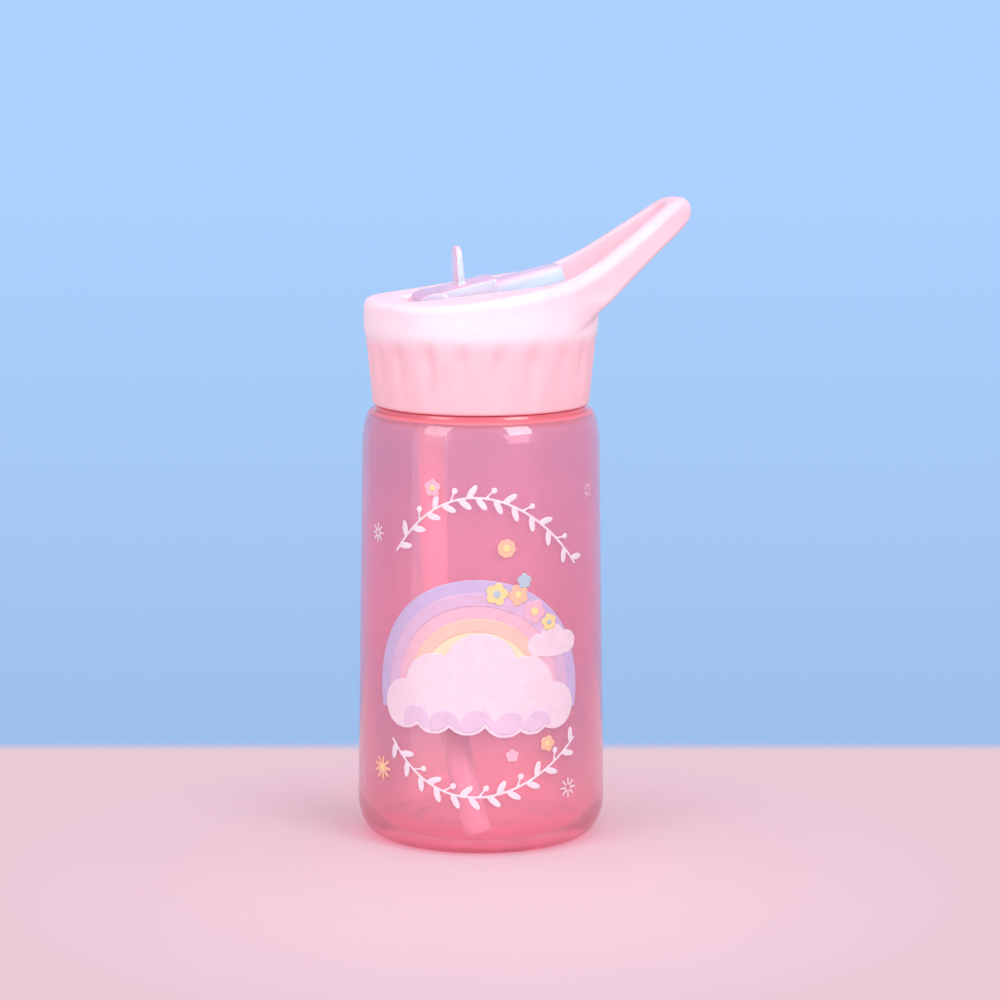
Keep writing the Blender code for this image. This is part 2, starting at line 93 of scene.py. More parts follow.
STRAW_RADIUS = 0.0040
STRAW_WALL = 0.0008
STRAW_TOP = 0.1423
STRAW_END = Vector((-0.0049, -0.0274, 0.0047))
STRAW_BEND = 0.112
STRAW_BOW = (2.85, 1.55)

# Sizes that differ from the CAD part: the flutes are 0.2 mm deeper, so that they show as in the
# photo, and the trough ends 1.8 mm sooner in the loop. Its corners are (x, y, radius).
FLUTE_DEPTH = 0.0009
TROUGH_CORNERS = [(0.0540, 0.0048, 0.0050), (0.018, 0.0222, 0.010),
                  (-0.006, 0.0102, 0.012), (-0.0226, 0.0102, 0.0025)]

# The part of a turn over which a thread runs out at each end.
THREAD_RUN_OUT = 0.12

# Above this height the plastic is thick and deeper in colour, and is also painted a brighter coral:
# a painted glow of light piped through the collar, and its painted reflection on the shoulder's
# top.
NECK_TINT_AND_GLOW_START = 0.1250

# The side of the bottle that carries the print.
FRONT = math.radians(-99.0)


def smooth(value, start, end):
    """0 before start, 1 after end, with a soft S between them."""
    t = np.clip((value - start) / (end - start), 0.0, 1.0)
    return t * t * (3 - 2 * t)


def eased(value, step):
    """0 before a step and its amount after it. A step is (amount, start, end)."""
    amount, start, end = step
    return amount * smooth(value, start, end)


# ---------------------------------------------------------------- fields of signed distances

# How many times sculpt moves its points to the surface, and the least slope it divides by.
SETTLING_STEPS = 4
LEAST_STEEP = 0.05


def rounded_max(a, b, radius):
    """What two solids share, with the edge between them rounded."""
    corner = np.hypot(np.maximum(a + radius, 0.0), np.maximum(b + radius, 0.0))
    return np.minimum(np.maximum(a, b), -radius) + corner


def rounded_min(a, b, radius):
    """Two solids joined, with a fillet of a radius in the corner between them."""
    corner = np.hypot(np.maximum(radius - a, 0.0), np.maximum(radius - b, 0.0))
    return np.maximum(np.minimum(a, b), radius) - corner


def outline_field(u, v, outline):
    """Signed distance to a closed flat outline, negative inside."""
    nearest = np.full(np.shape(u), np.inf)
    inside = np.zeros(np.shape(u), bool)
    for (u0, v0), (u1, v1) in zip(outline, outline[1:] + outline[:1]):
        du, dv = u1 - u0, v1 - v0
        along = np.clip(((u - u0) * du + (v - v0) * dv) / (du * du + dv * dv), 0.0, 1.0)
        away = np.hypot(u - u0 - along * du, v - v0 - along * dv)
        nearest = np.minimum(nearest, away)
        if dv:
            inside ^= ((v0 > v) != (v1 > v)) & (u < u0 + du * (v - v0) / dv)
    return np.where(inside, -nearest, nearest)


def tabled(outline, low, high, step):
    """The field of an outline, worked out on a grid once and read between its points."""
    us = np.arange(low[0], high[0] + step, step)
    vs = np.arange(low[1], high[1] + step, step)
    grid = outline_field(*np.meshgrid(us, vs, indexing="ij"), outline)

    def read(u, v):
        a = np.clip((u - us[0]) / step, 0, len(us) - 1.001)
        b = np.clip((v - vs[0]) / step, 0, len(vs) - 1.001)
        i, j = a.astype(int), b.astype(int)
        a, b = a - i, b - j
        return ((grid[i, j] * (1 - a) + grid[i + 1, j] * a) * (1 - b)
                + (grid[i, j + 1] * (1 - a) + grid[i + 1, j + 1] * a) * b)
    return read


def rounded_outline(corners, count=9):
    """A closed outline from corners (x, y, radius), each corner replaced by an arc."""
    points = []
    total = len(corners)
    for i, (x, y, radius) in enumerate(corners):
        here = Vector((x, y))
        if not radius:
            points.append((x, y))
            continue
        to_last = (Vector(corners[i - 1][:2]) - here).normalized()
        to_next = (Vector(corners[(i + 1) % total][:2]) - here).normalized()
        half = to_last.angle(to_next) / 2
        centre = here + (to_last + to_next).normalized() * radius / math.sin(half)
        first = here + to_last * radius / math.tan(half) - centre
        last = here + to_next * radius / math.tan(half) - centre
        turn = first.angle_signed(last)
        for k in range(count):
            spin = Matrix.Rotation(-turn * k / (count - 1), 2)
            points.append(tuple(centre + spin @ first))
    return points


def sculpt(field, low, high, cell):
    """Vertices and faces of the surface where a field is zero, one vertex to a grid cell.

    The field is read on a rough grid first, and finely only in the blocks near the surface.
    """
    block = 4
    near_enough = 1.3 * block * cell
    furthest_move = 0.9 * cell
    sizes = [int(math.ceil((high[k] - low[k]) / (cell * block))) for k in range(3)]
    rough = [low[k] + cell * block * (np.arange(sizes[k]) + 0.5) for k in range(3)]
    values = field(*np.meshgrid(*rough, indexing="ij"))
    for axis in range(3):
        values = np.repeat(values, block, axis)
    fine = [low[k] + cell * (np.arange(sizes[k] * block) + 0.5) for k in range(3)]
    near = np.nonzero(np.abs(values) < near_enough)
    values[near] = field(*[fine[k][near[k]] for k in range(3)])
    inside = values < 0

    filled = np.zeros([n - 1 for n in inside.shape], int)
    for dx in (0, 1):
        for dy in (0, 1):
            for dz in (0, 1):
                filled += inside[dx:dx + filled.shape[0], dy:dy + filled.shape[1],
                                 dz:dz + filled.shape[2]]
    active = np.nonzero((filled > 0) & (filled < 8))
    number = np.full(filled.shape, -1)
    number[active] = np.arange(len(active[0]))

    start = np.stack([fine[k][active[k]] + cell / 2 for k in range(3)])
    points = start.copy()
    reach = cell / 8
    for _ in range(SETTLING_STEPS):
        here = field(*points)
        slope = np.empty_like(points)
        for axis in range(3):
            ahead, behind = points.copy(), points.copy()
            ahead[axis] += reach
            behind[axis] -= reach
            slope[axis] = (field(*ahead) - field(*behind)) / (2 * reach)
        steep = np.maximum((slope ** 2).sum(0), LEAST_STEEP)
        points -= 0.9 * slope * here / steep
        points = start + np.clip(points - start, -furthest_move, furthest_move)

    quads = []
    for axis in range(3):
        order = (axis, (axis + 1) % 3, (axis + 2) % 3)
        nodes, cells = inside.transpose(order), number.transpose(order)
        i, j, k = np.nonzero(nodes[:-1, 1:-1, 1:-1] != nodes[1:, 1:-1, 1:-1])
        quad = np.stack([cells[i, j, k], cells[i, j + 1, k],
                         cells[i, j + 1, k + 1], cells[i, j, k + 1]], 1)
        backward = ~nodes[i, j + 1, k + 1]
        quad[backward] = quad[backward][:, ::-1]
        quads.append(quad)
    return points.T, np.concatenate(quads)


# ---------------------------------------------------------------- meshes

def piece(name, points, faces, material, body, replaced=None, closed=True):
    """A smooth mesh that rides on a body, and stands for a CAD node if one is named."""
    mesh = bpy.data.meshes.new(name)
    mesh.from_pydata([tuple(p) for p in points], [], [tuple(f) for f in faces])
    if closed:
        work = bmesh.new()
        work.from_mesh(mesh)
        bmesh.ops.recalc_face_normals(work, faces=work.faces)
        work.to_mesh(mesh)
        work.free()
    mesh.materials.append(material)
    mesh.shade_smooth()
    made = bpy.data.objects.new(name, mesh)
    bpy.context.scene.collection.objects.link(made)
    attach(made, body)
    if replaced:
        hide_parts(replaced)
    return made


def quarter(start, end, power, count):
    """Points from start, where the outline runs upright, to end, where it lies flat."""
    points = []
    for i in range(count):
        t = math.sin(math.pi / 2 * i / (count - 1))
        drop = (1 - t ** power) ** (1 / power)
        points.append((end[0] + (start[0] - end[0]) * drop, start[1] + (end[1] - start[1]) * t))
    return points


def spaced(start, end, step):
    """Points between two ends, neither of them included."""
    count = max(1, int(math.hypot(end[0] - start[0], end[1] - start[1]) / step))
    return [(start[0] + (end[0] - start[0]) * i / count, start[1] + (end[1] - start[1]) * i / count)
            for i in range(1, count)]


def filled_in(outline, step):
    """The outline with extra points, so that no stretch of it is longer than step."""
    points = []
    for start, end in zip(outline, outline[1:]):
        points.append(start)
        points += spaced(start, end, step)
    return points + [outline[-1]]


def turned(profile, steps, bulge=None):
    """A profile of (radius, height) turned about Z. bulge(angle, radius, height) moves it out."""
    points, rows = [], []
    for radius, height in profile:
        if radius < 1e-7:
            rows.append([len(points)] * steps)
            points.append((0.0, 0.0, height))
            continue
        rows.append(list(range(len(points), len(points) + steps)))
        for k in range(steps):
            angle = 2 * math.pi * k / steps
            r = radius + (bulge(angle, radius, height) if bulge else 0.0)
            points.append((r * math.cos(angle), r * math.sin(angle), height))
    faces = []
    for low, high in zip(rows, rows[1:]):
        for k in range(steps):
            n = (k + 1) % steps
            corners = [low[k], low[n], high[n], high[k]]
            faces.append(list(dict.fromkeys(corners)))
    return points, faces


def thread_height(angle, height, start):
    """How far the screw thread stands out from its wall at an angle and height."""
    tallest = 0.0
    for turn in (0, 1):
        along = angle / (2 * math.pi) + turn
        if along > THREAD_TURNS:
            continue
        run_out = min(1.0, 0.1 + along / THREAD_RUN_OUT,
                      0.1 + (THREAD_TURNS - along) / THREAD_RUN_OUT)
        away = abs(height - start - PITCH * along)
        side = (THREAD_ROOT / 2 - away) / (THREAD_ROOT / 2 - THREAD_CREST / 2)
        tallest = max(tallest, THREAD_HEIGHT * run_out * min(1.0, max(0.0, side)))
    return tallest


# ---------------------------------------------------------------- materials

MOTTLE = 0.04
GRAIN_DEPTH = 0.00002


def new_material(name):
    """A material, its nodes and links, and its shader."""
    made = bpy.data.materials.new(name)
    made.use_nodes = True
    nodes = made.node_tree.nodes
    return made, nodes, made.node_tree.links, nodes["Principled BSDF"]


def noise(nodes, links, scale, detail=2.0, stretch=(1.0, 1.0, 1.0)):
    """Noise in the object's own metres; a bigger scale gives finer noise."""
    place = nodes.new("ShaderNodeTexCoord")
    sized = nodes.new("ShaderNodeMapping")
    sized.inputs["Scale"].default_value = stretch
    made = nodes.new("ShaderNodeTexNoise")
    made.inputs["Scale"].default_value = scale
    made.inputs["Detail"].default_value = detail
    links.new(place.outputs["Object"], sized.inputs["Vector"])
    links.new(sized.outputs["Vector"], made.inputs["Vector"])
    return made.outputs["Fac"]


def ramp(nodes, links, value, stops):
    """Colours by value, from stops of (position, colour)."""
    made = nodes.new("ShaderNodeValToRGB")
    elements = made.color_ramp.elements
    while len(elements) < len(stops):
        elements.new(0.5)
    for element, (position, colour) in zip(elements, stops):
        element.position = position
        element.color = (*colour, 1.0)
    links.new(value, made.inputs["Fac"])
    return made.outputs["Color"]


def ranged(nodes, links, value, low, high, start=0.3, end=0.7):
    """A value stretched from start..end to low..high."""
    made = nodes.new("ShaderNodeMapRange")
    made.inputs["From Min"].default_value = start
    made.inputs["From Max"].default_value = end
    made.inputs["To Min"].default_value = low
    made.inputs["To Max"].default_value = high
    links.new(value, made.inputs["Value"])
    return made.outputs["Result"]


def height_value(nodes, links, low, high):
    """0 at one height of the object and 1 at another."""
    place = nodes.new("ShaderNodeTexCoord")
    split = nodes.new("ShaderNodeSeparateXYZ")
    links.new(place.outputs["Object"], split.inputs["Vector"])
    return ranged(nodes, links, split.outputs["Z"], 0.0, 1.0, low, high)


def bumped(nodes, links, shader, value, strength, depth):
    """A fine relief on a material from a value."""
    made = nodes.new("ShaderNodeBump")
    made.inputs["Strength"].default_value = strength
    made.inputs["Distance"].default_value = depth
    links.new(value, made.inputs["Height"])
    links.new(made.outputs["Normal"], shader.inputs["Normal"])


def varied(colour, amount):
    """A slightly darker and a slightly lighter shade of a colour."""
    darker = tuple(c * (1 - amount) for c in colour)
    lighter = tuple(min(1.0, c * (1 + amount * 0.6)) for c in colour)
    return darker, lighter


def multiplied(nodes, links, first, second):
    """One colour tinted by another."""
    made = nodes.new("ShaderNodeMix")
    made.data_type = "RGBA"
    made.blend_type = "MULTIPLY"
    made.inputs["Factor"].default_value = 1.0
    links.new(first, made.inputs["A"])
    links.new(second, made.inputs["B"])
    return made.outputs["Result"]


def moulded(name, colour, roughness, grain=900.0, soft=0.0, stops=None, span=(0.0, 1.0)):
    """An opaque moulded plastic or rubber, with faint mottling and a fine surface grain.

    soft is the weight of light scattered under the surface. stops over a span of heights change its
    colour by height, which on the lid paints a highlight on its band.
    """
    made, nodes, links, shader = new_material(name)
    darker, lighter = varied(colour, MOTTLE)
    clouds = noise(nodes, links, 120.0, 3.0)
    shade = ramp(nodes, links, clouds, [(0.3, darker), (0.7, lighter)])
    if stops:
        by_height = ramp(nodes, links, height_value(nodes, links, *span), stops)
        shade = multiplied(nodes, links, shade, by_height)
    links.new(shade, shader.inputs["Base Color"])
    links.new(ranged(nodes, links, noise(nodes, links, 260.0), roughness - 0.04, roughness + 0.05),
              shader.inputs["Roughness"])
    bumped(nodes, links, shader, noise(nodes, links, grain, 3.0), 0.25, GRAIN_DEPTH)
    shader.inputs["IOR"].default_value = 1.49
    if soft:
        shader.inputs["Subsurface Weight"].default_value = soft
        shader.inputs["Subsurface Radius"].default_value = (1.0, 0.45, 0.5)
        shader.inputs["Subsurface Scale"].default_value = 0.003
    return made


def let_light_through(made, nodes, links, shader, tint):
    """Shadow rays pass a clear material, tinted, so that what is inside is lit."""
    output = nodes["Material Output"]
    path = nodes.new("ShaderNodeLightPath")
    passing = nodes.new("ShaderNodeBsdfTransparent")
    passing.inputs["Color"].default_value = (*tint, 1.0)
    mixed = nodes.new("ShaderNodeMixShader")
    links.new(path.outputs["Is Shadow Ray"], mixed.inputs["Fac"])
    links.new(shader.outputs["BSDF"], mixed.inputs[1])
    links.new(passing.outputs["BSDF"], mixed.inputs[2])
    links.new(mixed.outputs["Shader"], output.inputs["Surface"])


def clear_plastic(name, stops, span, roughness, transmission, ior, tint, mottle_scale=90.0,
                  reflection_by_side=None):
    """A see-through plastic whose colour changes with height, with faint flow marks.

    reflection_by_side paints reflections by which way a face looks: the tints of its other faces
    and of its faces to the left and right.
    """
    made, nodes, links, shader = new_material(name)
    by_height = ramp(nodes, links, height_value(nodes, links, *span), stops)
    marks = ramp(nodes, links, noise(nodes, links, mottle_scale, 2.0, (1.0, 1.0, 0.25)),
                 [(0.3, (0.95, 0.95, 0.95)), (0.7, (1.0, 1.0, 1.0))])
    shade = multiplied(nodes, links, by_height, marks)
    if reflection_by_side:
        facing = nodes.new("ShaderNodeTexCoord")
        split = nodes.new("ShaderNodeSeparateXYZ")
        either = nodes.new("ShaderNodeMath")
        either.operation = "ABSOLUTE"
        links.new(facing.outputs["Normal"], split.inputs["Vector"])
        links.new(split.outputs["Y"], either.inputs[0])
        shade = multiplied(nodes, links, shade,
                           ramp(nodes, links, either.outputs["Value"], reflection_by_side))
    links.new(shade, shader.inputs["Base Color"])
    links.new(ranged(nodes, links, noise(nodes, links, 160.0), roughness * 0.8, roughness * 1.2),
              shader.inputs["Roughness"])
    bumped(nodes, links, shader, noise(nodes, links, 55.0, 1.0), 0.05, 0.0002)
    shader.inputs["Transmission Weight"].default_value = transmission
    shader.inputs["IOR"].default_value = ior
    let_light_through(made, nodes, links, shader, tint)
    return made


body_plastic = clear_plastic(
    "tinted_tritan",
    [(0.0, (0.92, 0.43, 0.49)), (0.05, (0.90, 0.43, 0.50)), (0.15, (0.88, 0.50, 0.56)),
     (0.50, (0.93, 0.46, 0.53)), (0.90, (0.90, 0.49, 0.58)), (1.0, (0.90, 0.47, 0.55))],
    (0.0, 0.126), 0.08, 0.78, 1.44, (0.97, 0.72, 0.79))
# The thick neck's coral, which also stands in for the glow in the collar and its reflection on the
# shoulder's top: painted glow and painted reflection.
neck_plastic_and_glow = clear_plastic(
    "tinted_tritan_thick_and_glow", [(0.0, (0.95, 0.24, 0.29)), (1.0, (0.96, 0.24, 0.28))],
    (0.124, 0.141), 0.14, 0.36, 1.44, (1.0, 0.60, 0.65))
# The lid's colour by height: the smooth band is painted almost white, a painted highlight for the
# sheen it catches; the skirt below and the loop above stay deeper pink.
lid_plastic = moulded(
    "lid_polypropylene", (0.98, 0.74, 0.81), 0.46, soft=0.25,
    stops=[(0.0, (0.99, 0.685, 0.70)), (0.30, (0.99, 0.72, 0.745)), (0.365, (1.0, 0.98, 0.99)),
           (0.44, (1.0, 0.95, 0.96)), (0.60, (0.97, 0.785, 0.81)), (1.0, (0.97, 0.76, 0.79))],
    span=(0.127, 0.187))
# The spout is clear: its pink low down and on faces that look up, down and along it, and the cyan
# of its left and right faces, are painted reflections of the pink lid below and the blue backdrop.
spout_plastic = clear_plastic(
    "clear_polycarbonate",
    [(0.0, (1.0, 0.64, 0.74)), (0.34, (1.0, 0.72, 0.80)), (0.50, (1.0, 0.90, 0.93)),
     (0.70, (1.0, 1.0, 1.0))],
    (0.150, 0.172), 0.04, 0.52, 1.38, (0.98, 0.92, 0.96), 200.0,
    [(0.30, (1.0, 0.60, 0.68)), (0.65, (0.78, 0.78, 0.88)), (0.9, (0.62, 0.84, 0.90))])
inner_plastic = moulded("plate_polypropylene", (0.96, 0.55, 0.66), 0.42, soft=0.2)
pin_plastic = moulded("white_acetal", (0.86, 0.84, 0.84), 0.30)
silicone = moulded("silicone", (0.90, 0.86, 0.89), 0.55, grain=1500.0, soft=0.3)
# The straw is painted paler low down and the body's deeper pink higher up: painted light and shade
# for how light reaches it through the body.
straw_plastic = clear_plastic(
    "straw_polyethylene",
    [(0.0, (0.98, 0.90, 0.92)), (0.22, (0.98, 0.84, 0.87)), (0.45, (0.93, 0.62, 0.68)),
     (1.0, (0.88, 0.60, 0.70))],
    (0.0, 0.142), 0.18, 0.50, 1.35, (0.98, 0.90, 0.93))


# ---------------------------------------------------------------- the bottle's body

def body_profile():
    """The section of the bottle's wall, from the inside of its base round to the outside."""
    wide = BODY_RADIUS - WALL
    inner_low = quarter((wide, FLOOR + INNER_CORNER_HEIGHT), (INNER_FLAT_RADIUS, FLOOR), 2.0, 12)
    inner_high = quarter((BODY_TOP_RADIUS - WALL, SHOULDER_START),
                         (0.0288, SHOULDER_TOP - 0.0014), 2.4, 12)
    inside = filled_in([(0.0, FLOOR)] + inner_low[::-1] + inner_high
                       + [(0.0268, SHOULDER_TOP - 0.0010), (0.0254, SHOULDER_TOP + 0.0002),
                          (0.0249, NECK_START + 0.0003), (NECK_BORE, NECK_START + 0.0014)], 0.004)
    edge = 0.0006
    mouth = ([(NECK_BORE, MOUTH - 0.0020)]
             + quarter((NECK_BORE, MOUTH - edge), (NECK_BORE + edge, MOUTH), 2.0, 5)
             + quarter((NECK_RADIUS, MOUTH - edge), (NECK_RADIUS - edge, MOUTH), 2.0, 5)[::-1])
    neck = [(NECK_RADIUS, MOUTH - edge - 0.0002 * k) for k in range(1, 65)]
    neck = [point for point in neck if point[1] > NECK_START + 0.0004]
    collar = [(NECK_RADIUS + 0.0001, NECK_START + 0.0002), (NECK_RADIUS + 0.0003, NECK_START),
              (COLLAR_RADIUS - 0.0003, NECK_START), (COLLAR_RADIUS - 0.0001, NECK_START - 0.0001),
              (COLLAR_RADIUS, NECK_START - 0.0003), (COLLAR_RADIUS, SHOULDER_TOP + 0.0002),
              (COLLAR_RADIUS + 0.0002, SHOULDER_TOP)]
    shoulder = quarter((BODY_TOP_RADIUS, SHOULDER_START),
                       (BODY_TOP_RADIUS - 0.0036, SHOULDER_TOP), 2.4, 14)[::-1]
    corner = quarter((BODY_RADIUS, BASE_CORNER_HEIGHT), (BASE_FLAT_RADIUS, 0.0), 2.0, 16)
    outside = filled_in(shoulder + corner, 0.004)
    base = filled_in([(BASE_FLAT_RADIUS - 0.0005, 0.0), (0.0203, 0.0), (0.0200, 0.00006),
                      (0.0198, 0.0002), (0.0194, 0.0006), (0.0192, 0.00074), (0.0188, 0.0008),
                      (0.0132, 0.0008), (0.0128, 0.00074), (0.0126, 0.0006), (0.0122, 0.0002),
                      (0.0120, 0.00006), (0.0117, 0.0), (0.0, 0.0)], 0.004)
    return inside + mouth + neck + collar + outside + base


def body_bulge(angle, radius, height):
    if abs(radius - NECK_RADIUS) > 1e-6 or height > MOUTH - 0.0008:
        return 0.0
    return thread_height(angle, height, NECK_THREAD_START)


BODY_STEPS = 160
points, faces = turned(body_profile(), BODY_STEPS, body_bulge)
bottle = piece("bottle_skin", points, faces, body_plastic, "bottle", "bottle_body")
# The neck and the shoulder's top get the coral plastic, which carries the painted glow of the
# collar and its painted reflection.
bottle.data.materials.append(neck_plastic_and_glow)
for face in bottle.data.polygons:
    face.material_index = int(face.center.z > NECK_TINT_AND_GLOW_START)


# ---------------------------------------------------------------- the lid

# The rim is level at the back, rises gently past RIM_LEVEL_END, bends upwards from CREST_BEND to
# CREST_STRAIGHT into the loop, and falls away past CREST_OVER at the loop's tip.
RIM_LEVEL_END = -0.0158
RIM_SOFTNESS = 0.012
RIM_SLOPE = 0.16
LOOP_SLOPE = 0.715
CREST_BEND = 0.010
CREST_STRAIGHT = 0.040
CREST_OVER = 0.0530
CREST_FALL = 64.0

# The lid's side by height: the skirt's radius at one height and how it widens, then steps of
# (amount, start, end) out to the smooth band and slightly in again above it.
SKIRT_HEIGHTS = (0.127, 0.148)
SKIRT_RADIUS = 0.0318
SKIRT_RADIUS_AT = 0.130
SKIRT_TAPER = 0.0944
BAND_OUT = (0.0006, 0.1455, 0.1510)
BAND_IN = (0.0003, 0.152, 0.160)

# The heights over which the flutes fade in and out, and how narrow each one is.
FLUTE_START = (0.1250, 0.1440)
FLUTE_END = (0.1418, 0.1488)
FLUTE_POWER = 2.4

# The loop's underside: a slope through a point (x, z), bent down past a place, and an end face
# through another point. UNDER_LENGTH turns height over the slope into distance from it. The plan
# changes from round to drawn out over a stretch of heights.
UNDER_POINT = (0.0300, 0.1541)
UNDER_SLOPE = 0.882
UNDER_LENGTH = 1.334
UNDER_BEND_START = 0.042
UNDER_BEND = 3.0
UNDER_FLOOR = 0.1478
END_POINT = (0.0622, 0.1832)
END_FACING = (0.927, -0.375)
PLAN_CHANGE = (0.1480, 0.1590)

# Roundings: steps of (amount, start, end) along X that change the upper edge's and the fillet's.
EDGE_LEAST = 0.0021
EDGE_MORE = (0.0020, -0.028, 0.036)
EDGE_LESS = (0.0010, 0.044, 0.058)
FILLET_LEAST = 0.0001
FILLET_MORE = (0.0030, 0.024, 0.032)

# The pockets for the pins, the pins' holes, the seal's seat and the vent.
POCKET_MIDDLE = 0.1481
POCKET_HALF_HEIGHT = 0.0081
PIN_HOLE_END = 0.0140
SEAT_PLAY = 0.0004
SEAT_TOP = 0.150
VENT_MIDDLE = (-0.0090, 0.012, 0.1495)
VENT_RADIUS = 0.0009
VENT_HALF_LENGTH = 0.004


def ramped(value, width):
    """0, then value, with a soft bend of half width between them."""
    bend = np.clip(value + width, 0.0, 2 * width) ** 2 / (4 * width)
    return bend + np.maximum(value - width, 0.0)


def crest_height(x):
    """Height of the rim and of the loop's top edge, by place along the bottle's X axis."""
    along = np.clip((x - CREST_BEND) / (CREST_STRAIGHT - CREST_BEND), 0.0, 1.0)
    steeper = ((CREST_STRAIGHT - CREST_BEND) * (along ** 3 - along ** 4 / 2)
               + np.maximum(x - CREST_STRAIGHT, 0.0))
    falling = CREST_FALL * np.maximum(x - CREST_OVER, 0.0) ** 2
    return (RIM + RIM_SLOPE * ramped(x - RIM_LEVEL_END, RIM_SOFTNESS)
            + (LOOP_SLOPE - RIM_SLOPE) * steeper - falling)


def lid_radius(z):
    """Radius of the lid's side by height: tapered skirt, then a smooth band."""
    skirt = SKIRT_RADIUS + SKIRT_TAPER * (np.clip(z, *SKIRT_HEIGHTS) - SKIRT_RADIUS_AT)
    return skirt + eased(z, BAND_OUT) - eased(z, BAND_IN)


def drawn_out(x, y, big):
    """Distance to a circle drawn out to a smaller round end along +X, seen from above."""
    y = np.abs(y)
    lean = (big - LOOP_RADIUS) / LOOP_CENTRE
    level = np.sqrt(1 - lean ** 2)
    along = level * x - lean * y
    at_end = np.hypot(x - LOOP_CENTRE, y) - LOOP_RADIUS
    beside = lean * x + level * y - big
    return np.where(along < 0, np.hypot(x, y) - big,
                    np.where(along > level * LOOP_CENTRE, at_end, beside))


PLAN_CELL = 0.0003
PLAN_HIGH = (0.070, 0.045)
mirrored_corners = [(x, -y, radius) for x, y, radius in reversed(TROUGH_CORNERS)]
trough_plan = tabled(rounded_outline(TROUGH_CORNERS + mirrored_corners), (-0.045, -0.045),
                     PLAN_HIGH, PLAN_CELL)

# A pocket's plan: straight along the trough's wall, then slanted, then round the lid's side.
POCKET_RIGHT = 0.0095
POCKET_CORNER = 0.0140
pocket_arc = [(POCKET_REACH * math.cos(a), POCKET_REACH * math.sin(a))
              for a in np.linspace(math.acos(POCKET_RIGHT / POCKET_REACH),
                                   math.pi - math.asin(POCKET_CORNER / POCKET_REACH), 24)]
pocket_plan = tabled([(-0.0268, POCKET_WALL), (-0.0060, POCKET_WALL), (POCKET_RIGHT, 0.0206)]
                     + pocket_arc, (-0.045, -0.005), PLAN_HIGH, PLAN_CELL)


def lid_field(x, y, z):
    """The lid: fluted cap and loop, less the trough, pockets, bore and holes."""
    radius = np.hypot(x, y)
    angle = np.arctan2(y, x)
    wide = lid_radius(z)

    ribbed = smooth(z, *FLUTE_START) * (1 - smooth(z, *FLUTE_END))
    hollow = (0.5 + 0.5 * np.cos(FLUTES * angle)) ** FLUTE_POWER
    side = radius - wide + FLUTE_DEPTH * hollow * ribbed

    bend = UNDER_BEND * np.maximum(x - UNDER_BEND_START, 0.0) ** 2
    slope = (UNDER_SLOPE * (x - UNDER_POINT[0]) - bend + UNDER_POINT[1] - z) / UNDER_LENGTH
    end_face = END_FACING[0] * (x - END_POINT[0]) + END_FACING[1] * (z - END_POINT[1])
    under = np.maximum(rounded_max(slope, end_face, 0.0012), UNDER_FLOOR - z)
    widening = smooth(z, *PLAN_CHANGE)
    plan = (1 - widening) * (radius - wide) + widening * drawn_out(x, y, wide)
    loop = rounded_max(plan, under, 0.0011)

    solid = rounded_min(side, loop, FILLET_LEAST + eased(x, FILLET_MORE))
    edge = EDGE_LEAST + eased(x, EDGE_MORE) - eased(x, EDGE_LESS)
    solid = rounded_max(solid, (z - crest_height(x)) / 1.05, edge)
    solid = rounded_max(solid, LID_BOTTOM - z, 0.0006)

    plan = trough_plan(x, y)
    low = rounded_max(rounded_max(plan, radius - TROUGH_LIMIT, 0.001), TROUGH_FLOOR - z, 0.0012)
    high = rounded_max(plan, TROUGH_SILL - z, 0.0010)
    solid = rounded_max(solid, -np.minimum(low, high), 0.0007)

    bore = rounded_max(radius - SKIRT_BORE, z - DECK_UNDER, 0.0006)
    thread = np.full(np.shape(x), 1.0)
    about = np.mod(angle, 2 * math.pi) / (2 * math.pi)
    for turn in (0, 1):
        along = about + turn
        run_out = np.minimum(1.0, np.minimum(along, THREAD_TURNS - along) / THREAD_RUN_OUT)
        away = np.abs(z - NECK_THREAD_START + PITCH / 2 - PITCH * along)
        crest = SKIRT_BORE - THREAD_HEIGHT * run_out - radius
        taper = (THREAD_ROOT - THREAD_CREST) / 2 / THREAD_HEIGHT
        flank = away - THREAD_CREST / 2 - taper * (radius - SKIRT_BORE + THREAD_HEIGHT)
        rib = np.maximum(np.maximum(crest, flank), radius - SKIRT_BORE - 0.0006)
        thread = np.minimum(thread, np.where(run_out > 0, rib, 1.0))
    bore = np.maximum(bore, -thread)
    solid = rounded_max(solid, -bore, 0.0004)

    pocket = rounded_max(pocket_plan(x, np.abs(y)),
                         np.abs(z - POCKET_MIDDLE) - POCKET_HALF_HEIGHT, 0.0008)
    pin_hole = (np.hypot(x - PIVOT.x, z - PIVOT.z) - PIN_HOLE
                + 10 * np.maximum(np.abs(y) - PIN_HOLE_END, 0.0))
    seat = np.maximum(np.hypot(x - PIVOT.x, y) - SEAL_RADIUS - SEAT_PLAY, z - SEAT_TOP)
    vent = np.maximum(np.hypot(x - VENT_MIDDLE[0], z - VENT_MIDDLE[2]) - VENT_RADIUS,
                      np.abs(y - VENT_MIDDLE[1]) - VENT_HALF_LENGTH)
    holes = np.minimum(np.minimum(pocket, pin_hole), np.minimum(seat, vent))
    return np.maximum(solid, -holes)


LID_CELL = 0.0006
points, faces = sculpt(lid_field, (-0.036, -0.036, 0.1255), (0.064, 0.036, 0.1885), LID_CELL)
piece("lid_skin", points, faces, lid_plastic, "lid", "lid_shell")


# ---------------------------------------------------------------- the spout

def rounded_box(u, v, half_u, half_v, radius):
    """Distance to a flat rectangle with rounded corners."""
    a, b = np.abs(u) - half_u + radius, np.abs(v) - half_v + radius
    return np.hypot(np.maximum(a, 0), np.maximum(b, 0)) + np.minimum(np.maximum(a, b), 0) - radius


